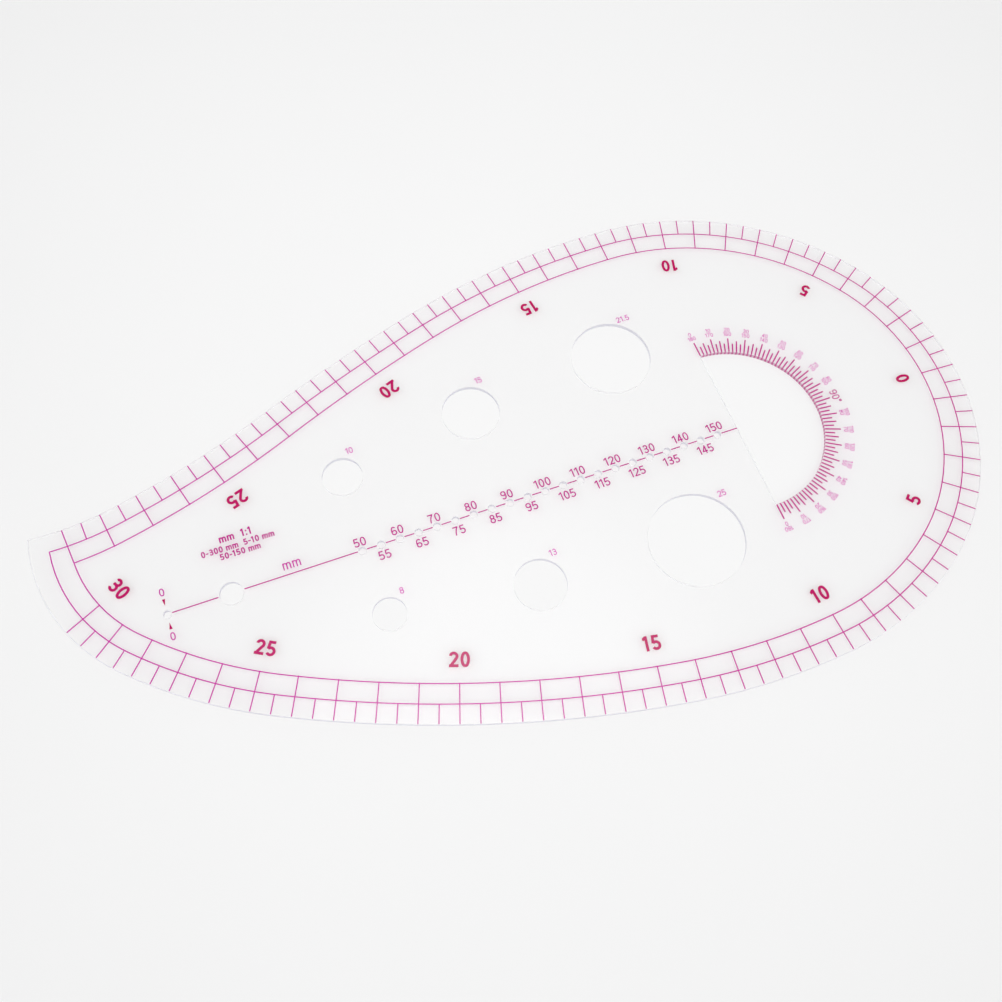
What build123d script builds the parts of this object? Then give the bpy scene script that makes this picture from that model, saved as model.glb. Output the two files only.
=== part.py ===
from build123d import *
import math
import os

# Clear drawing curve with a printed edge scale, a compass rule, circle
# templates and a protractor window. Millimetres, +Z up.
# Origin: axis of the compass pivot hole, on the underside of the plate.
# +X runs along the compass rule, towards the protractor.

# ---- plate ----
plate_thickness = 1.2
edge_round = 0.15                 # polished break of the outer edge, both faces

# The outline starts at the sharp tip and runs clockwise, as seen from above:
# arcs that follow each other tangentially, each (radius, turn in degrees). A
# left turn is positive and hollow. The last arc runs on until it meets the
# first one again, square, at the tip.
tip_corner = (-28.3, 31.0)
tip_heading = -5.0
outline_arcs = (
    (70, 17.0), (245, 11.0), (475, -6.0), (210, -17.0), (80, -56.5), (65, -89.0),
    (77, -29.5), (175, -14.5), (340, -17.0), (125, -18.5), (48, -50.0),
)

# ---- holes ----
pivot_hole_radius = 1.0
pencil_hole_radius = 1.0
first_radius_mm = 50              # compass radii that the pencil holes give
last_radius_mm = 150
radius_step_mm = 5
hanging_hole_radius = 3.0
hanging_hole_x = 16.1

pencil_allowance = 0.7            # a template hole is wider than the circle drawn in it
# (diameter drawn, centre x, centre y, direction of its label in degrees)
circle_templates = (
    (8.0, 51.3, -18.3, 46), (10.0, 51.3, 21.5, 60), (13.0, 89.4, -23.7, 49),
    (15.0, 89.4, 28.3, 59), (21.5, 132.0, 31.7, 53), (25.0, 132.0, -25.9, 40),
)

# ---- protractor window: a half disc with its straight side across the rule ----
protractor_x = 156.0
protractor_radius = 24.0
protractor_step_deg = 2.5
protractor_tick_inset = 0.05      # from the window's rim
protractor_tick_width = 0.36
protractor_tick_lengths = {10: 4.4, 5: 3.6, 2.5: 2.7}
protractor_figure_step = 10
protractor_row_radii = (29.85, 31.3)   # middles of the two rows of figures
protractor_right_angle_radius = 30.1

# ---- printed edge scale ----
ink_thickness = 0.04
line_width = 0.28
band_width = 5.0                  # from the edge to the first line, and on to the second
short_tick_step = 5
long_tick_step = 10
scale_line_inset = 0.6            # the scale is true along a line this far in from the edge
tick_end_inset = 0.2
tick_overrun = 0.05               # of a long tick, past the far side of the second line
tip_tick_gap = 0.02               # between the last long tick and the second line's corner
first_tick_station = 8.6          # from the tip to the last tick of the upper scale
upper_scale_mm = 290
lower_scale_mm = 300
figure_step_mm = 50
figure_inset = 16.0

# ---- printed compass rule ----
rule_gap_at_pivot = 1.2
rule_gap_at_hanging_hole = 3.3
rule_gap_at_pencil_hole = 1.2
rule_figure_y = 2.4
rule_half_step_figure_y = -2.95
pivot_arrow = (0.8, 1.8)          # base and height
pivot_arrow_tip_y = 2.25
pivot_zero_y = 5.95
unit_label_centre = (32.25, 2.7)
scale_note_centre = (20.9, 14.9)
edge_note_centre = (20.9, 12.2)
compass_note_centre = (21.0, 10.1)

# ---- figures: heights, and stroke weights as a share of the height ----
edge_figure_height = 3.9
edge_figure_weight = 0.185
rule_figure_height = 2.4
pivot_figure_height = 2.1
protractor_figure_height = 1.2
right_angle_figure_height = 2.2
circle_figure_height = 1.7
unit_height = 2.6
scale_note_height = 2.1
small_note_height = 1.7
plain_weight = 0.13
light_weight = 0.115
note_weight = 0.18
circle_label_gap = 2.7            # from the rim of a circle to the middle of its label

# ---- figures: widths as a share of the height ----
figure_width = 0.60
narrow_width = 0.42               # a figure 1
mark_width = 0.22                 # a point or a colon
degree_width = 0.34
dash_width = 0.36
letter_width = 0.85               # a letter m
space_width = 0.25
figure_gap = 0.12
oval_end_share = 0.8              # radius of an oval's ends, as a share of its half width


# ======================= numerals of one stroke width =======================
# Every glyph is drawn 1 high from its lower left corner, with its strokes'
# centre lines half a stroke inside that height.

def strokes(weight, *paths):
    """Fuse strokes of one weight, each a list of curves joined end to end."""
    glyph = Sketch()
    for path in paths:
        glyph += trace(path, weight)
    return glyph


def ring(centre, radius, weight):
    """A closed round stroke with this centre-line radius."""
    return Pos(*centre) * (Circle(radius + weight / 2) - Circle(radius - weight / 2))


def oval_shape(half_width, half_height):
    """End radius, side radius and the angle where they meet, of an oval made of four arcs."""
    end_radius = oval_end_share * half_width
    end_offset = half_height - end_radius
    reach = half_width ** 2 + end_offset ** 2 - end_radius ** 2
    side_radius = reach / (2 * (half_width - end_radius))
    meet = math.degrees(math.atan2(end_offset, side_radius - half_width))
    return end_radius, side_radius, meet


def oval_face(half_width, half_height, end_radius, side_radius, meet):
    """A filled oval about the origin."""
    end_offset = half_height - end_radius
    side_offset = side_radius - half_width
    return make_face([
        CenterArc((-side_offset, 0), side_radius, -meet, 2 * meet),
        CenterArc((0, end_offset), end_radius, meet, 180 - 2 * meet),
        CenterArc((side_offset, 0), side_radius, 180 - meet, 2 * meet),
        CenterArc((0, -end_offset), end_radius, 180 + meet, 180 - 2 * meet),
    ])


def glyph_zero(weight):
    outer_sizes = (figure_width / 2, 0.5)
    outer_radii = oval_shape(*outer_sizes)[:2]
    meet = oval_shape(*outer_sizes)[2]
    inner_sizes = [size - weight for size in outer_sizes]
    inner_radii = [radius - weight for radius in outer_radii]
    outer = oval_face(*outer_sizes, *outer_radii, meet)
    inner = oval_face(*inner_sizes, *inner_radii, meet)
    return Pos(*outer_sizes) * (outer - inner)


def glyph_one(weight):
    stem_x = narrow_width - weight
    flag_foot = 0.76
    flag = Line((0, flag_foot), (stem_x, 1 - weight / 3))
    return strokes(weight, [Line((stem_x, 0), (stem_x, 1))], [flag])


def glyph_two(weight):
    half = weight / 2
    radius = figure_width / 2 - half
    bowl_start, bowl_turn = 172, -208
    bowl = CenterArc((figure_width / 2, 1 - half - radius), radius, bowl_start, bowl_turn)
    diagonal = Line(bowl @ 1, (weight / 4, 0))
    return strokes(weight, [bowl, diagonal], [Line((0, half), (figure_width, half))])


def stacked_bowls(weight, upper_share):
    """Centre-line radii of an upper and a lower round, and the height where they touch."""
    span = (1 - weight) / 2
    upper_radius = upper_share * span
    lower_radius = span - upper_radius
    return upper_radius, lower_radius, weight / 2 + 2 * lower_radius


def glyph_three(weight):
    upper_radius, lower_radius, waist = stacked_bowls(weight, upper_share=0.47)
    middle = figure_width / 2
    bowl_turn = -245
    upper = CenterArc((middle, waist + upper_radius), upper_radius, -90 - bowl_turn, bowl_turn)
    lower = CenterArc((middle, waist - lower_radius), lower_radius, 90, bowl_turn)
    nib = Line((middle - weight, waist), (middle, waist))
    return strokes(weight, [upper], [lower], [nib])


def glyph_four(weight):
    stem_x = figure_width - 1.5 * weight
    bar_y = 0.28
    stem = Line((stem_x, 0), (stem_x, 1))
    slope = Line((weight / 2, bar_y), (stem_x, 1 - weight / 2))
    bar = Line((0, bar_y), (figure_width, bar_y))
    return strokes(weight, [stem], [slope], [bar])


def glyph_five(weight):
    half = weight / 2
    bowl_outer_radius = 0.32
    bowl_start, bowl_turn = 142, -292
    left = 0.06
    centre = (figure_width - bowl_outer_radius, bowl_outer_radius)
    bowl = CenterArc(centre, bowl_outer_radius - half, bowl_start, bowl_turn)
    stem = Line((left + half, 1 - half), bowl @ 0)
    bar = Line((left, 1 - half), (figure_width - half, 1 - half))
    return strokes(weight, [bowl], [stem], [bar])


def glyph_six(weight):
    half = weight / 2
    radius = figure_width / 2 - half
    middle = figure_width / 2
    hook_start = 20
    end_radius, side_radius, meet = oval_shape(radius, 0.5 - half)
    hook = CenterArc((middle, 1 - half - end_radius), end_radius, hook_start, 180 - meet - hook_start)
    back = CenterArc((middle + side_radius - radius, 0.5), side_radius, 180 - meet, meet)
    side = Line(back @ 1, (half, half + radius))
    return strokes(weight, [hook, back, side]) + ring((middle, half + radius), radius, weight)


def glyph_seven(weight):
    half = weight / 2
    waist, foot = (figure_width / 2, 0.5), (0.19, 0)
    slope = ThreePointArc((figure_width - half, 1 - half), waist, foot)
    return strokes(weight, [Line((0, 1 - half), (figure_width, 1 - half))], [slope])


def glyph_eight(weight):
    upper_radius, lower_radius, waist = stacked_bowls(weight, upper_share=0.46)
    upper = ring((figure_width / 2, waist + upper_radius), upper_radius, weight)
    return upper + ring((figure_width / 2, waist - lower_radius), lower_radius, weight)


def glyph_nine(weight):
    return Pos(figure_width, 1) * (Rot(0, 0, 180) * glyph_six(weight))


def glyph_point(weight):
    return Pos(mark_width / 2, weight / 2) * Rectangle(weight, weight)


def glyph_colon(weight):
    point_pitch = 0.52
    return glyph_point(weight) + Pos(0, point_pitch) * glyph_point(weight)


def glyph_degree(weight):
    radius = degree_width / 2
    return ring((radius, 1 - radius), radius - weight / 2, weight)


def glyph_dash(weight):
    dash_y = 0.45
    return Pos(dash_width / 2, dash_y) * Rectangle(dash_width, weight)


def glyph_m(weight):
    half = weight / 2
    x_height = 0.72
    arch_radius = 0.17
    shoulder = x_height - half - arch_radius
    glyph = strokes(weight, [Line((half, 0), (half, x_height))])
    for left in (half, half + 2 * arch_radius):
        arch = CenterArc((left + arch_radius, shoulder), arch_radius, 180, -180)
        glyph += strokes(weight, [arch, Line(arch @ 1, (left + 2 * arch_radius, 0))])
    return glyph


# character: (drawing function, width)
glyphs = {
    "0": (glyph_zero, figure_width), "1": (glyph_one, narrow_width), "2": (glyph_two, figure_width),
    "3": (glyph_three, figure_width), "4": (glyph_four, figure_width), "5": (glyph_five, figure_width),
    "6": (glyph_six, figure_width), "7": (glyph_seven, figure_width), "8": (glyph_eight, figure_width),
    "9": (glyph_nine, figure_width), ".": (glyph_point, mark_width), ":": (glyph_colon, mark_width),
    "°": (glyph_degree, degree_width), "-": (glyph_dash, dash_width), "m": (glyph_m, letter_width),
}


def figures(text, height, weight):
    """Text as flat glyphs around its own middle, reading along +X."""
    widths = [glyphs[character][1] if character != " " else space_width for character in text]
    left = -(sum(widths) + figure_gap * (len(text) - 1)) / 2
    word = []
    for character, width in zip(text, widths):
        if character != " ":
            cell = Pos(width / 2, 0.5) * Rectangle(width, 1)
            glyph = scale(glyphs[character][0](weight) & cell, by=height)
            word.append(Pos(left * height, -height / 2) * glyph)
        left += width + figure_gap
    return word


# ============================ outline and stations ============================

def arc_chain(inset):
    """Arcs of the line that runs at this distance inside the edge, from abreast
    of the tip: (centre, start angle, turn, radius, sense) for each."""
    heading = math.radians(tip_heading)
    x, y = tip_corner
    chain = []
    for radius, turn_deg in outline_arcs:
        sense = math.copysign(1, turn_deg)
        centre = (x - sense * radius * math.sin(heading), y + sense * radius * math.cos(heading))
        start_angle = heading - sense * math.pi / 2
        turn = math.radians(turn_deg)
        chain.append((centre, start_angle, turn, radius + sense * inset, sense))
        end_angle = start_angle + turn
        x = centre[0] + radius * math.cos(end_angle)
        y = centre[1] + radius * math.sin(end_angle)
        heading += turn
    return chain


def tip_of_chain(chain):
    """Where the last arc of a chain meets its first, beside the tip, as angles on those two arcs."""
    (x0, y0), _, _, first_radius, _ = chain[0]
    (x1, y1), _, _, last_radius, _ = chain[-1]
    apart = math.hypot(x1 - x0, y1 - y0)
    along = (first_radius ** 2 - last_radius ** 2 + apart ** 2) / (2 * apart)
    across = math.sqrt(first_radius ** 2 - along ** 2)
    ux, uy = (x1 - x0) / apart, (y1 - y0) / apart
    x, y = min(
        ((x0 + along * ux - side * across * uy, y0 + along * uy + side * across * ux) for side in (1, -1)),
        key=lambda point: math.dist(point, tip_corner),
    )
    return math.atan2(y - y0, x - x0), math.atan2(y - y1, x - x1)


def corner_beside_tip(inset):
    """The sharp corner of the line that runs inside the edge at this distance."""
    chain = arc_chain(inset)
    (x, y), _, _, radius, _ = chain[0]
    angle, _ = tip_of_chain(chain)
    return x + radius * math.cos(angle), y + radius * math.sin(angle)


def outline_face(inset=0):
    """The plate's outline, or a line that runs inside it at this distance, filled."""
    chain = arc_chain(inset)
    arcs = [[centre, start, start + turn, radius] for centre, start, turn, radius, _ in chain]
    first_start, last_end = tip_of_chain(chain)
    arcs[0][1] = nearest_turn(first_start, arcs[0][1])
    arcs[-1][2] = nearest_turn(last_end, arcs[-1][2])
    return make_face([
        CenterArc(centre, radius, math.degrees(start), math.degrees(end - start))
        for centre, start, end, radius in arcs
    ])


def nearest_turn(angle, target):
    """The same direction, written as the angle nearest to the target."""
    return angle + 2 * math.pi * round((target - angle) / (2 * math.pi))


def edge_station(distance):
    """Point on the edge and inward direction in degrees, at a distance along the scale's true line."""
    for centre, start_angle, turn, radius, sense in arc_chain(scale_line_inset):
        length = abs(turn) * radius
        if distance <= length:
            break
        distance -= length
    angle = start_angle + sense * distance / radius
    edge_radius = radius - sense * scale_line_inset
    point = (centre[0] + edge_radius * math.cos(angle), centre[1] + edge_radius * math.sin(angle))
    inward = math.degrees(angle) + (180 if sense < 0 else 0)
    return point, inward


def at_edge(station, inset, sketch, turn=0):
    """Move a sketch to a place inside the edge, its +X pointing inwards before the turn."""
    (x, y), inward = edge_station(station)
    x += inset * math.cos(math.radians(inward))
    y += inset * math.sin(math.radians(inward))
    return Pos(x, y) * (Rot(0, 0, inward + turn) * sketch)


def print_on_plate(sketches):
    """A thin film of ink on the plate's upper face."""
    film = []
    for sketch in sketches:
        for face in sketch.faces():
            film += extrude(Pos(0, 0, plate_thickness) * face, amount=ink_thickness, dir=(0, 0, 1)).solids()
    return Compound(children=film)


# ================================= the plate =================================

def pencil_radii():
    return range(first_radius_mm, last_radius_mm + 1, radius_step_mm)


def protractor_window():
    half_plane = Pos(protractor_radius / 2, 0) * Rectangle(protractor_radius, 2 * protractor_radius)
    return Pos(protractor_x, 0) * (Circle(protractor_radius) & half_plane)


def clear_plate():
    blank = extrude(outline_face(), amount=plate_thickness)
    rims = blank.faces().sort_by(Axis.Z)[0].edges() + blank.faces().sort_by(Axis.Z)[-1].edges()
    blank = fillet(rims, edge_round)
    openings = [Circle(pivot_hole_radius), Pos(hanging_hole_x, 0) * Circle(hanging_hole_radius)]
    openings += [Pos(radius, 0) * Circle(pencil_hole_radius) for radius in pencil_radii()]
    for diameter, x, y, _ in circle_templates:
        openings.append(Pos(x, y) * Circle((diameter + pencil_allowance) / 2))
    openings.append(protractor_window())
    for opening in openings:
        blank -= extrude(opening, amount=plate_thickness)
    return blank


# ============================== the edge scale ==============================

def border_rings():
    """The two lines that follow the edge, each a closed ribbon."""
    middles = (band_width, 2 * band_width)
    half = line_width / 2
    return [outline_face(middle - half) - outline_face(middle + half) for middle in middles]


def zero_station():
    return first_tick_station + upper_scale_mm


def edge_ticks(step, reach, skip=None):
    """Square ticks from the edge inwards, leaving out the marks that are multiples of skip."""
    length = reach - tick_end_inset
    bar = Pos(length / 2, 0) * Rectangle(length, line_width)
    marks = range(step - upper_scale_mm, lower_scale_mm + 1, step)
    kept = [mark for mark in marks if skip is None or mark % skip]
    return [at_edge(zero_station() + mark, tick_end_inset, bar) for mark in kept]


def tip_tick():
    """The last mark of the upper scale, which leans to meet the second line's corner."""
    start = Vector(*edge_station(first_tick_station)[0])
    corner = Vector(*corner_beside_tip(2 * band_width))
    along = (corner - start).normalized()
    end = corner - along * (line_width / 2 + tip_tick_gap)
    return trace(Line(start + along * tick_end_inset, end), line_width)


def long_edge_ticks():
    """Ticks of the whole centimetres. All but the last one cross both lines."""
    return edge_ticks(long_tick_step, 2 * band_width + line_width / 2 + tick_overrun) + [tip_tick()]


def short_ticks(border):
    """Ticks of the half centimetres, which end at the first line."""
    return [tick - border for tick in edge_ticks(short_tick_step, band_width, skip=long_tick_step)]


def border_lines(borders, long_ticks):
    """The lines that follow the edge, broken where the long ticks cross them."""
    return [border - long_ticks for border in borders]


def edge_figures(marks):
    """Centimetre figures with their feet towards the edge."""
    out = []
    for mark in marks:
        text = str(abs(mark) // 10)
        for glyph in figures(text, edge_figure_height, edge_figure_weight):
            out.append(at_edge(zero_station() + mark, figure_inset, glyph, turn=-90))
    return out


# ============================== the compass rule ==============================

def rule_line():
    """The dashed line that joins the holes on the compass rule."""
    stops = [(0, rule_gap_at_pivot), (hanging_hole_x, rule_gap_at_hanging_hole)]
    stops += [(radius, rule_gap_at_pencil_hole) for radius in pencil_radii()]
    stops.append((protractor_x, tick_end_inset))
    dashes = []
    for (x0, gap0), (x1, gap1) in zip(stops, stops[1:]):
        start, end = x0 + gap0, x1 - gap1
        dashes.append(Pos((start + end) / 2, 0) * Rectangle(end - start, line_width))
    return dashes


def rule_figures(first, y):
    out = []
    for radius in range(first, last_radius_mm + 1, 2 * radius_step_mm):
        out += [Pos(radius, y) * glyph for glyph in figures(str(radius), rule_figure_height, plain_weight)]
    return out


def pivot_arrows():
    base, height = pivot_arrow
    tip, back = pivot_arrow_tip_y, pivot_arrow_tip_y + height
    arrow = make_face(Polyline((0, tip), (base / 2, back), (-base / 2, back), (0, tip)))
    return [arrow, Rot(0, 0, 180) * arrow]


def pivot_zeros():
    zero, = figures("0", pivot_figure_height, plain_weight)
    return [Pos(0, y) * zero for y in (pivot_zero_y, -pivot_zero_y)]


def unit_label():
    return [Pos(*unit_label_centre) * glyph for glyph in figures("mm", unit_height, light_weight)]


def scale_notes():
    """Three lines: full size, the edge scale's range and ticks, and the compass rule's range."""
    notes = (
        ("mm  1:1", scale_note_centre, scale_note_height),
        ("0-300 mm  5-10 mm", edge_note_centre, small_note_height),
        ("50-150 mm", compass_note_centre, small_note_height),
    )
    return [
        Pos(*centre) * glyph
        for text, centre, height in notes
        for glyph in figures(text, height, note_weight)
    ]


# =============================== the protractor ===============================

def at_angle(degrees_from_top, radius, sketch):
    """Move a sketch out from the protractor's centre, feet inwards, counting clockwise from +Y."""
    return Pos(protractor_x, 0) * (Rot(0, 0, -degrees_from_top) * (Pos(0, radius) * sketch))


def protractor_ticks():
    ticks = []
    for index in range(int(180 / protractor_step_deg) + 1):
        degrees = index * protractor_step_deg
        size = next(step for step in protractor_tick_lengths if degrees % step == 0)
        length = protractor_tick_lengths[size] - protractor_tick_inset
        middle = protractor_radius + protractor_tick_inset + length / 2
        ticks.append(at_angle(degrees, middle, Rectangle(protractor_tick_width, length)))
    return ticks


def protractor_figures(radius, value_at):
    out = []
    for degrees in range(0, 180 + 1, protractor_figure_step):
        if degrees != 90:
            for glyph in figures(str(value_at(degrees)), protractor_figure_height, light_weight):
                out.append(at_angle(degrees, radius, glyph))
    return out


def right_angle_figure():
    return [at_angle(90, protractor_right_angle_radius, glyph)
            for glyph in figures("90°", right_angle_figure_height, light_weight)]


def circle_figures():
    out = []
    for diameter, x, y, direction in circle_templates:
        reach = diameter / 2 + circle_label_gap
        angle = math.radians(direction)
        label = Pos(x + reach * math.cos(angle), y + reach * math.sin(angle))
        out += [label * glyph for glyph in figures(f"{diameter:g}", circle_figure_height, light_weight)]
    return out


# ================================== output ==================================

os.makedirs("parts", exist_ok=True)
borders = border_rings()
long_ticks = long_edge_ticks()
upper_marks = range(-figure_step_mm, -upper_scale_mm, -figure_step_mm)
lower_marks = range(figure_step_mm, lower_scale_mm + 1, figure_step_mm)
inner_row, outer_row = protractor_row_radii

printed = {
    "edge_border_lines": border_lines(borders, long_ticks),
    "edge_ticks_10mm": long_ticks,
    "edge_ticks_5mm": short_ticks(borders[0]),
    "edge_numerals_upper": edge_figures(upper_marks),
    "edge_numerals_lower": edge_figures(lower_marks),
    "edge_numeral_zero": edge_figures([0]),
    "compass_rule_line": rule_line(),
    "compass_numerals_tens": rule_figures(first_radius_mm, rule_figure_y),
    "compass_numerals_fives": rule_figures(first_radius_mm + radius_step_mm, rule_half_step_figure_y),
    "pivot_arrows": pivot_arrows(),
    "pivot_zeros": pivot_zeros(),
    "unit_label": unit_label(),
    "scale_notes": scale_notes(),
    "protractor_ticks": protractor_ticks(),
    "protractor_numerals_outer_row": protractor_figures(outer_row, lambda degrees: degrees),
    "protractor_numerals_inner_row": protractor_figures(inner_row, lambda degrees: 180 - degrees),
    "protractor_numeral_90": right_angle_figure(),
    "circle_size_numerals": circle_figures(),
}

export_step(clear_plate(), "parts/clear_plate.step")
for node, sketches in printed.items():
    export_step(print_on_plate(sketches), f"parts/{node}.step")
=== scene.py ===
import math

import bpy
from mathutils import Matrix, Vector


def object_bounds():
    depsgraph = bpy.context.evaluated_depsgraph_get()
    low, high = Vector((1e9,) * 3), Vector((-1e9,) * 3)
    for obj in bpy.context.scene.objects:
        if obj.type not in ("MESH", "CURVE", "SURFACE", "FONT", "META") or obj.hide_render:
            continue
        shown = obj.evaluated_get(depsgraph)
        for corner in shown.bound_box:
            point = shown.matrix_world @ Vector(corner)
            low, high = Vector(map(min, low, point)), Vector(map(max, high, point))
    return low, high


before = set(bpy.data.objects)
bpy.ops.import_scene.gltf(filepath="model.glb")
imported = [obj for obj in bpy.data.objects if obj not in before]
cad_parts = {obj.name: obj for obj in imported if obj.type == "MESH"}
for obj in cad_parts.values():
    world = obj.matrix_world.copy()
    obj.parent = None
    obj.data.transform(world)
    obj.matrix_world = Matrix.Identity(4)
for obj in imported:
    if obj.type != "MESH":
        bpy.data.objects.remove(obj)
cad_low, cad_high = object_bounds()

# Clear drawing curve with magenta printing, lying on a pale table. Metres, and angles in degrees.
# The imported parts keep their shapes. This script gives them their materials,
# and adds the table, the light and the camera.
# Noise scales are repeats per metre. A pair is (low, high) unless a comment says otherwise.

SHEET = "clear_plate"
BOLD_PRINT_NODES = (
    "edge_numerals_upper", "edge_numerals_lower", "edge_numeral_zero", "pivot_arrows",
)
DENSE_PRINT_NODES = (
    "compass_rule_line", "compass_numerals_tens", "compass_numerals_fives", "protractor_ticks",
    "protractor_numeral_90", "scale_notes",
)
FAINT_PRINT_NODES = (
    "protractor_numerals_outer_row", "protractor_numerals_inner_row", "circle_size_numerals",
)

# ---- colours, linear ----
WHITE = (1.0, 1.0, 1.0, 1.0)
BLACK = (0.0, 0.0, 0.0, 1.0)
CLEAR_TINT = (1.0, 0.998, 1.0, 1.0)
CUT_EDGE_TINT = (0.70, 0.695, 0.76, 1.0)
CUT_EDGE_PAINTED_LIGHTER_INSIDE = (0.86, 0.86, 0.87, 1.0)    # painted lighter where the wall is seen from within the sheet
SHEET_HIGHLIGHT = (0.25, 0.25, 0.25, 1.0)
# each ink at the tip's end and at the far end
BOLD_INK = ((0.50, 0.001, 0.115, 1.0), (0.49, 0.001, 0.095, 1.0))
DENSE_INK = ((0.52, 0.001, 0.260, 1.0), (0.50, 0.001, 0.220, 1.0))
FINE_INK = ((0.57, 0.001, 0.360, 1.0), (0.55, 0.001, 0.270, 1.0))
FAINT_INK = ((0.68, 0.001, 0.470, 1.0), (0.66, 0.001, 0.420, 1.0))
THIN_INK = (0.62, 0.012, 0.30, 1.0)               # where the film is thinnest
PAINTED_TICK_REFLECTION = (0.50, 0.001, 0.19, 1.0)          # painted reflection of the ticks in the cut wall
TABLE_COLOURS = ((0.87, 0.87, 0.87, 1.0), (0.885, 0.885, 0.885, 1.0))

# ---- clear sheet ----
SHEET_IOR = 1.49
FLAT_FROM = (0.75, 0.98)             # how upright the surface's normal is, from cut wall to face
CUT_EDGE_TRANSMISSION = 0.15
LONG_SCRATCHES = {"per_metre": 90, "stretch": (1, 14, 1), "sparseness": 0.66}
CROSS_SCRATCHES = {"per_metre": 110, "stretch": (12, 1, 1), "sparseness": 0.68}
SCRATCH_EDGE = 0.06                  # how softly a scratch starts, as a share of the noise
SCRATCH_DEPTH = 0.000002
SCRATCH_ROUGHNESS = (0.0, 0.05)      # added to the haze's
HAZE_SCALE = 38
HAZE_COVER = (0.45, 0.75)
HAZE_ROUGHNESS = (0.025, 0.07)
SAW_SCALE = 5200
SAW_STRETCH = (1, 1, 0.12)
SAW_DEPTH = 0.00002
SAW_ROUGHNESS = (0.42, 0.62)
CUT_EDGE_ROUGHNESS_INSIDE = (0.42, 0.42, 0.42, 1.0)

# ---- printed film ----
PATCH_SCALE = 60
GRAIN_SCALE = 4200
PATCH_SHARE = 0.5                    # of the film's cover, and the grain has the rest
THIN_COVER = (0.48, 0.78)
THIN_INK_SHARE = 0.35
INK_ROUGHNESS = (0.12, 0.26)
INK_SHEEN = 0.6
WEAVE_SCALE = 9000                   # the printing mesh
WEAVE_HEIGHT = 0.000004

# ---- table top ----
TABLE_GAP = 0.00008                  # air under the sheet
TABLE_HALF = 30.0
WANDER_SCALE = 5
WANDER_RANGE = (0.3, 0.7)
TOOTH_SCALE = 2600
TOOTH_HEIGHT = 0.00001
TABLE_ROUGHNESS = (0.75, 0.9)

# ---- protractor scale, whose ticks are painted as a reflection into the wall of its window ----
SCALE_NODE = "protractor_ticks"
TICK_PITCH = 2.5
FULL_TURN = 360
LONGEST_TICK = 0.0044                # from the window's rim outwards
PAINTED_REFLECTION_SHARES = (0.3, 0.95)      # of the painted reflection's ink, half way between ticks and abreast of one
RIM_TOLERANCE = 0.0002

# ---- camera ----
AIM_SHARE = (0.4639, 0.4865)         # where it looks on the printed face, of the sheet's length and width
CAMERA_AZIMUTH = -115.55             # of the camera from that point, anticlockwise from +X
CAMERA_ELEVATION = 66.09
CAMERA_DISTANCE = 0.2784
CAMERA_ROLL = 5.55
CAMERA_NEAR = 0.01
LENS_MM = 38.43
SENSOR_MM = 36.0

# ---- studio: a direction is (azimuth, tilt from straight up), a spread is (start of the fade, end) ----
LEVEL = 90                           # the tilt of a level direction
SKY_RADIANCE = 1.13
DARK_WALL_SHARE = 0.10               # of the sky's radiance that the dark wall has
DARK_WALL_DIRECTION = (68, 30)
DARK_WALL_SPREAD = (24, 46)
SOFTBOX_RADIANCE = 2.2
SOFTBOX_DIRECTION = (57, 11.5)
SOFTBOX_SPREAD = (3, 15)
PANEL_WATTS = 0.13
PANEL_SIZE = 0.24
PANEL_DISTANCE = 0.5
PANEL_DIRECTION = (-115, 6)
PANEL_BEAM = 90
PANEL_LEAD = 0.06                    # how far beyond the camera's aim it points

# ---- places of the Mix node's colour sockets ----
MIX_FIRST_COLOUR = 6
MIX_SECOND_COLOUR = 7
MIX_COLOUR_RESULT = 2


# ================================ node helpers ================================

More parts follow.
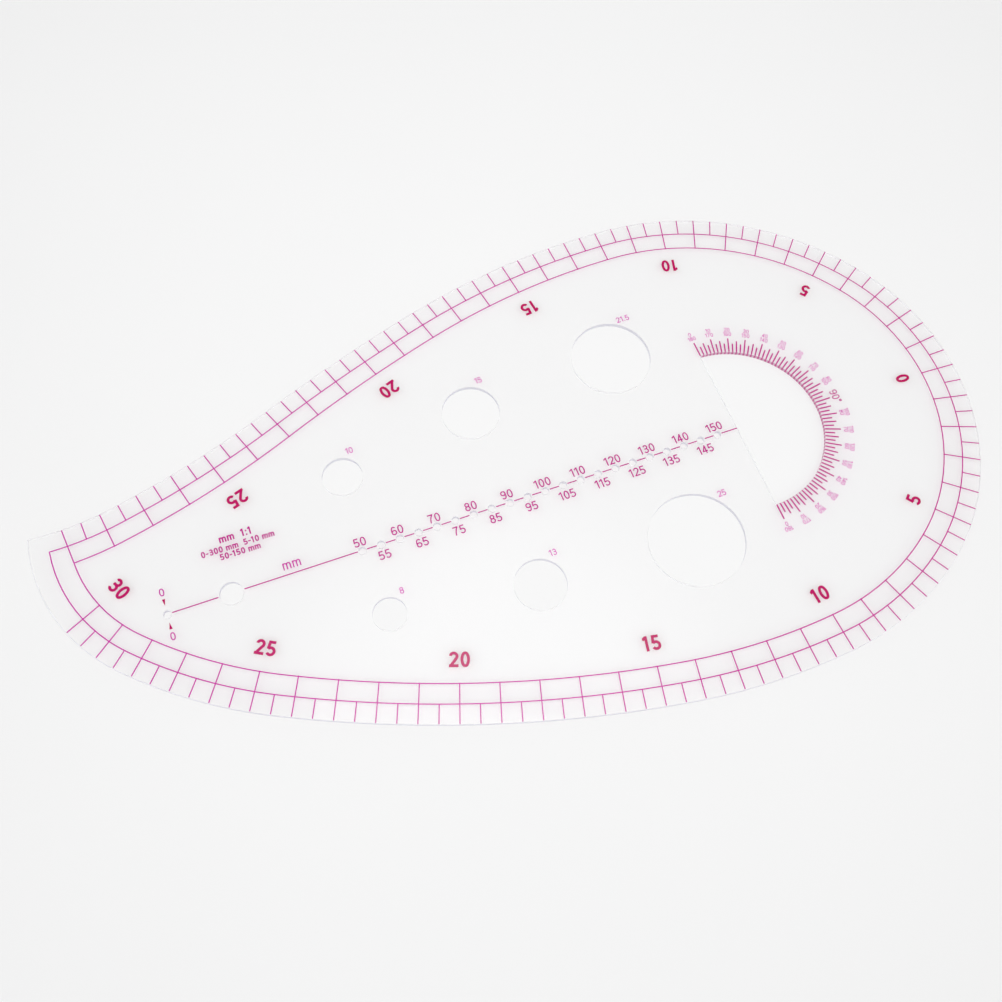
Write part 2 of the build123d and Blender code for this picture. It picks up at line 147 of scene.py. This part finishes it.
class Shading:
    """A material's node tree, with one call for each kind of node that is used here."""

    def __init__(self, name):
        self.material = bpy.data.materials.new(name)
        self.material.use_nodes = True
        self.tree = self.material.node_tree
        self.shader = self.tree.nodes["Principled BSDF"]

    def link(self, source, target):
        self.tree.links.new(source, target)

    def node(self, kind, **settings):
        made = self.tree.nodes.new(kind)
        for name, value in settings.items():
            setattr(made, name, value)
        return made

    def fill(self, socket, value):
        """Links the socket to the value if that is a socket too, or else sets it to the value."""
        if isinstance(value, bpy.types.NodeSocket):
            self.link(value, socket)
        else:
            socket.default_value = value

    def place(self, stretch=(1, 1, 1)):
        """Position on the object, in metres, stretched for patterns that run one way."""
        coordinates = self.node("ShaderNodeTexCoord")
        mapping = self.node("ShaderNodeMapping")
        mapping.inputs["Scale"].default_value = stretch
        self.link(coordinates.outputs["Object"], mapping.inputs["Vector"])
        return mapping.outputs["Vector"]

    def noise(self, per_metre, detail=3.0, stretch=(1, 1, 1), distortion=0.0):
        texture = self.node("ShaderNodeTexNoise")
        texture.inputs["Scale"].default_value = per_metre
        texture.inputs["Detail"].default_value = detail
        texture.inputs["Distortion"].default_value = distortion
        self.link(self.place(stretch), texture.inputs["Vector"])
        return texture.outputs["Fac"]

    def ramp(self, factor, low, high, first=BLACK, second=WHITE):
        """Runs from the first colour to the second while the factor goes from low to high."""
        ramp = self.node("ShaderNodeValToRGB")
        start, end = ramp.color_ramp.elements
        start.position, end.position = low, high
        start.color, end.color = first, second
        self.link(factor, ramp.inputs["Fac"])
        return ramp.outputs["Color"]

    def spread(self, factor, low, high):
        """The same factor, spread from low to high."""
        spread = self.node("ShaderNodeMapRange")
        spread.inputs["To Min"].default_value = low
        spread.inputs["To Max"].default_value = high
        self.link(factor, spread.inputs["Value"])
        return spread.outputs["Result"]

    def math(self, operation, first, second=0.0):
        """One step of arithmetic. A step that takes one number leaves the second out."""
        made = self.node("ShaderNodeMath", operation=operation)
        for socket, value in zip(made.inputs, (first, second)):
            self.fill(socket, value)
        return made.outputs["Value"]

    def mix(self, factor, first, second):
        """First colour or socket where the factor is 0, second where it is 1."""
        mix = self.node("ShaderNodeMix", data_type="RGBA")
        self.link(factor, mix.inputs["Factor"])
        self.fill(mix.inputs[MIX_FIRST_COLOUR], first)
        self.fill(mix.inputs[MIX_SECOND_COLOUR], second)
        return mix.outputs[MIX_COLOUR_RESULT]

    def bump(self, height, distance, under=None):
        """Raises the surface by the height times the distance, over the bump under it if there is one."""
        bump = self.node("ShaderNodeBump")
        bump.inputs["Distance"].default_value = distance
        self.link(height, bump.inputs["Height"])
        if under is not None:
            self.link(under, bump.inputs["Normal"])
        return bump.outputs["Normal"]

    def flatness(self):
        """1 where the surface faces straight up or down, 0 on an upright wall."""
        geometry = self.node("ShaderNodeNewGeometry")
        split = self.node("ShaderNodeSeparateXYZ")
        self.link(geometry.outputs["Normal"], split.inputs["Vector"])
        return self.math("ABSOLUTE", split.outputs["Z"])

    def seen_from_inside(self):
        """1 where a ray meets the surface from within the solid, 0 elsewhere."""
        return self.node("ShaderNodeNewGeometry").outputs["Backfacing"]

    def share_along(self):
        """0 at the tip's end of the object, 1 at its far end."""
        split = self.node("ShaderNodeSeparateXYZ")
        self.link(self.place(), split.inputs["Vector"])
        share = self.node("ShaderNodeMapRange")
        share.inputs["From Min"].default_value = cad_low.x
        share.inputs["From Max"].default_value = cad_high.x
        self.link(split.outputs["X"], share.inputs["Value"])
        return share.outputs["Result"]

    def painted_tick_reflection(self, centre, radius):
        """How much painted reflection of the ticks the round wall of this centre and radius gets, and 0
        off that wall.
        """
        split = self.node("ShaderNodeSeparateXYZ")
        self.link(self.place(), split.inputs["Vector"])
        x = self.math("SUBTRACT", split.outputs["X"], centre.x)
        y = self.math("SUBTRACT", split.outputs["Y"], centre.y)
        turns = self.math("MULTIPLY", self.math("ARCTAN2", y, x), FULL_TURN / TICK_PITCH)
        wave = self.math("COSINE", turns)
        stripes = self.spread(self.math("ADD", self.math("MULTIPLY", wave, 0.5), 0.5), *PAINTED_REFLECTION_SHARES)
        squares = self.math("ADD", self.math("MULTIPLY", x, x), self.math("MULTIPLY", y, y))
        off_rim = self.math("ABSOLUTE", self.math("SUBTRACT", self.math("SQRT", squares), radius))
        at_rim = self.math("LESS_THAN", off_rim, RIM_TOLERANCE)
        on_wall = self.math("MULTIPLY", at_rim, self.math("GREATER_THAN", x, 0.0))
        return self.math("MULTIPLY", stripes, on_wall)

    def let_light_through(self):
        """Lets lamps and the sky reach what lies under the clear shader."""
        rays = self.node("ShaderNodeLightPath")
        through = self.math("MAXIMUM", rays.outputs["Is Shadow Ray"], rays.outputs["Is Diffuse Ray"])
        clear = self.node("ShaderNodeBsdfTransparent")
        clear.inputs["Color"].default_value = WHITE
        choice = self.node("ShaderNodeMixShader")
        share, otherwise, let_through = choice.inputs
        self.link(through, share)
        self.link(self.shader.outputs["BSDF"], otherwise)
        self.link(clear.outputs["BSDF"], let_through)
        self.link(choice.outputs["Shader"], self.tree.nodes["Material Output"].inputs["Surface"])

    def use(self, **sockets):
        """Fills the shader's sockets, given by name with _ for a space."""
        for name, value in sockets.items():
            self.fill(self.shader.inputs[name.replace("_", " ")], value)


# ================================= materials =================================

def scratches(shading, per_metre, stretch, sparseness):
    """Fine hair lines that run one way, as a height of 0 to 1."""
    streaks = shading.noise(per_metre, detail=6.0, stretch=stretch, distortion=0.3)
    return shading.ramp(streaks, sparseness, sparseness + SCRATCH_EDGE)


def window_rim():
    """Centre and radius of the protractor window's round side, from the scale printed round it."""
    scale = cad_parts[SCALE_NODE]
    corners = [scale.matrix_world @ Vector(corner) for corner in scale.bound_box]
    low_y = min(corner.y for corner in corners)
    high_y = max(corner.y for corner in corners)
    far_x = max(corner.x for corner in corners)
    scale_radius = (high_y - low_y) / 2
    centre = Vector((far_x - scale_radius, (low_y + high_y) / 2))
    return centre, scale_radius - LONGEST_TICK


def clear_plastic():
    """Clear polished sheet, with hair scratches and haze on its faces and saw marks on its cut edges."""
    shading = Shading("clear_sheet")
    flat = shading.ramp(shading.flatness(), *FLAT_FROM)
    inside = shading.seen_from_inside()
    hair_lines = shading.math(
        "MAXIMUM", scratches(shading, **LONG_SCRATCHES), scratches(shading, **CROSS_SCRATCHES))
    haze = shading.ramp(shading.noise(HAZE_SCALE, detail=5.0, distortion=0.6), *HAZE_COVER)
    face_roughness = shading.math(
        "ADD", shading.spread(haze, *HAZE_ROUGHNESS), shading.spread(hair_lines, *SCRATCH_ROUGHNESS))
    saw_marks = shading.noise(SAW_SCALE, detail=2.0, stretch=SAW_STRETCH)
    edge_roughness = shading.mix(
        inside, shading.spread(saw_marks, *SAW_ROUGHNESS), CUT_EDGE_ROUGHNESS_INSIDE)
    # the cut wall is painted lighter where it is seen from within the sheet
    wall_tint_painted_lighter_inside = shading.mix(inside, CUT_EDGE_TINT, CUT_EDGE_PAINTED_LIGHTER_INSIDE)
    # the protractor's ticks are painted as a reflection into the window's round wall
    edge_tint_and_painted_reflection = shading.mix(shading.painted_tick_reflection(*window_rim()), wall_tint_painted_lighter_inside, PAINTED_TICK_REFLECTION)
    marks_on_edges = shading.math("MULTIPLY", shading.math("SUBTRACT", 1.0, flat), saw_marks)
    shading.use(
        Base_Color=shading.mix(flat, edge_tint_and_painted_reflection, CLEAR_TINT),
        Roughness=shading.mix(flat, edge_roughness, face_roughness),
        Normal=shading.bump(marks_on_edges, SAW_DEPTH, under=shading.bump(hair_lines, -SCRATCH_DEPTH)),
        Transmission_Weight=shading.spread(flat, CUT_EDGE_TRANSMISSION, 1.0),
        IOR=SHEET_IOR,
        Specular_Tint=SHEET_HIGHLIGHT,
    )
    shading.let_light_through()
    return shading.material


def printed_ink(name, near_tip, far_end):
    """Screen-printed ink that drifts in hue along the sheet, with thin spots and the mesh's fine weave."""
    shading = Shading(name)
    patches = shading.math("MULTIPLY", shading.noise(PATCH_SCALE, detail=4.0), PATCH_SHARE)
    grain = shading.noise(GRAIN_SCALE, detail=2.0)
    cover = shading.math("ADD", patches, shading.math("MULTIPLY", grain, 1 - PATCH_SHARE))
    thinness = shading.spread(shading.ramp(cover, *THIN_COVER), 0.0, THIN_INK_SHARE)
    hue = shading.mix(shading.share_along(), near_tip, far_end)
    shading.use(
        Base_Color=shading.mix(thinness, hue, THIN_INK),
        Roughness=shading.spread(grain, *INK_ROUGHNESS),
        Normal=shading.bump(shading.noise(WEAVE_SCALE, detail=1.0), WEAVE_HEIGHT),
        Specular_IOR_Level=INK_SHEEN,
    )
    return shading.material


def table_paint():
    """Matt white table top with a faint tooth."""
    shading = Shading("pale_table")
    wander = shading.noise(WANDER_SCALE)
    tooth = shading.noise(TOOTH_SCALE, detail=4.0)
    shading.use(
        Base_Color=shading.ramp(wander, *WANDER_RANGE, *TABLE_COLOURS),
        Roughness=shading.spread(tooth, *TABLE_ROUGHNESS),
        Normal=shading.bump(tooth, TOOTH_HEIGHT),
        Specular_IOR_Level=0.0,
    )
    return shading.material


# =============================== object's parts ===============================

def dress_parts():
    """Gives the sheet and each set of marks its material. The ink casts no shadow."""
    fine = printed_ink("fine_print", *FINE_INK)
    materials = {SHEET: clear_plastic()}
    for name, nodes, ink in (
        ("bold_print", BOLD_PRINT_NODES, BOLD_INK),
        ("dense_print", DENSE_PRINT_NODES, DENSE_INK),
        ("faint_print", FAINT_PRINT_NODES, FAINT_INK),
    ):
        materials.update(dict.fromkeys(nodes, printed_ink(name, *ink)))
    for name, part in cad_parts.items():
        part.visible_shadow = name == SHEET
        for slot in part.material_slots:
            slot.material = materials.get(name, fine)


# =================================== studio ===================================

def make_table():
    """A wide flat table top just under the sheet."""
    height = cad_low.z - TABLE_GAP
    corners = [(x * TABLE_HALF, y * TABLE_HALF, height) for x, y in ((-1, -1), (1, -1), (1, 1), (-1, 1))]
    mesh = bpy.data.meshes.new("table")
    mesh.from_pydata(corners, [], [(0, 1, 2, 3)])
    mesh.materials.append(table_paint())
    table = bpy.data.objects.new("table", mesh)
    bpy.context.scene.collection.objects.link(table)


def towards(azimuth, tilt):
    """Unit vector to a place in the studio, from an azimuth and a tilt from straight up."""
    azimuth, tilt = math.radians(azimuth), math.radians(tilt)
    return Vector((math.sin(tilt) * math.cos(azimuth), math.sin(tilt) * math.sin(azimuth), math.cos(tilt)))


def aim_point():
    """Where the camera looks, on the printed face."""
    size = cad_high - cad_low
    return Vector((cad_low.x + AIM_SHARE[0] * size.x, cad_low.y + AIM_SHARE[1] * size.y, cad_high.z))


def sky_patch(tree, direction, spread, around, inside):
    """A round soft-edged patch of sky: one value around it, another inside it."""
    coordinates = tree.nodes.new("ShaderNodeTexCoord")
    facing = tree.nodes.new("ShaderNodeVectorMath")
    facing.operation = "DOT_PRODUCT"
    facing.inputs[1].default_value = towards(*direction)
    tree.links.new(coordinates.outputs["Generated"], facing.inputs[0])
    fade = tree.nodes.new("ShaderNodeMapRange")
    fade.interpolation_type = "SMOOTHSTEP"
    start, end = (math.cos(math.radians(angle)) for angle in spread)
    fade.inputs["From Min"].default_value = end
    fade.inputs["From Max"].default_value = start
    fade.inputs["To Min"].default_value = around
    fade.inputs["To Max"].default_value = inside
    tree.links.new(facing.outputs["Value"], fade.inputs["Value"])
    return fade.outputs["Result"]


def make_sky():
    """Even pale surroundings with a darker wall behind the sheet and a soft box nearly overhead."""
    world = bpy.data.worlds.new("studio")
    world.use_nodes = True
    bpy.context.scene.world = world
    tree = world.node_tree
    walls = sky_patch(
        tree, DARK_WALL_DIRECTION, DARK_WALL_SPREAD, SKY_RADIANCE, DARK_WALL_SHARE * SKY_RADIANCE)
    softbox = sky_patch(tree, SOFTBOX_DIRECTION, SOFTBOX_SPREAD, 0.0, SOFTBOX_RADIANCE)
    total = tree.nodes.new("ShaderNodeMath")
    total.operation = "ADD"
    tree.links.new(walls, total.inputs[0])
    tree.links.new(softbox, total.inputs[1])
    tree.links.new(total.outputs["Value"], tree.nodes["Background"].inputs["Strength"])
    tree.nodes["Background"].inputs["Color"].default_value = WHITE


def make_panel():
    """A soft light panel over the near side, whose light falls off gently to the corners."""
    data = bpy.data.lights.new("panel", "AREA")
    data.size = PANEL_SIZE
    data.spread = math.radians(PANEL_BEAM)
    data.energy = PANEL_WATTS
    panel = bpy.data.objects.new("panel", data)
    place = aim_point() + PANEL_DISTANCE * towards(*PANEL_DIRECTION)
    target = aim_point() - PANEL_LEAD * towards(CAMERA_AZIMUTH, LEVEL)
    panel.matrix_world = Matrix.LocRotScale(place, (target - place).to_track_quat("-Z", "Y"), None)
    bpy.context.scene.collection.objects.link(panel)


def make_camera():
    """The photograph's viewpoint: above the sheet, from its near left."""
    back = towards(CAMERA_AZIMUTH, LEVEL - CAMERA_ELEVATION)
    data = bpy.data.cameras.new("camera")
    data.lens = LENS_MM
    data.sensor_width = SENSOR_MM
    data.clip_start = CAMERA_NEAR
    camera = bpy.data.objects.new("camera", data)
    roll = Matrix.Rotation(math.radians(CAMERA_ROLL), 3, "Z")
    turn = (-back).to_track_quat("-Z", "Y").to_matrix() @ roll
    camera.matrix_world = Matrix.LocRotScale(
        aim_point() + CAMERA_DISTANCE * back, turn.to_quaternion(), None)
    bpy.context.scene.collection.objects.link(camera)
    bpy.context.scene.camera = camera


dress_parts()
make_table()
make_sky()
make_panel()
make_camera()
bpy.context.scene.view_settings.view_transform = "Standard"
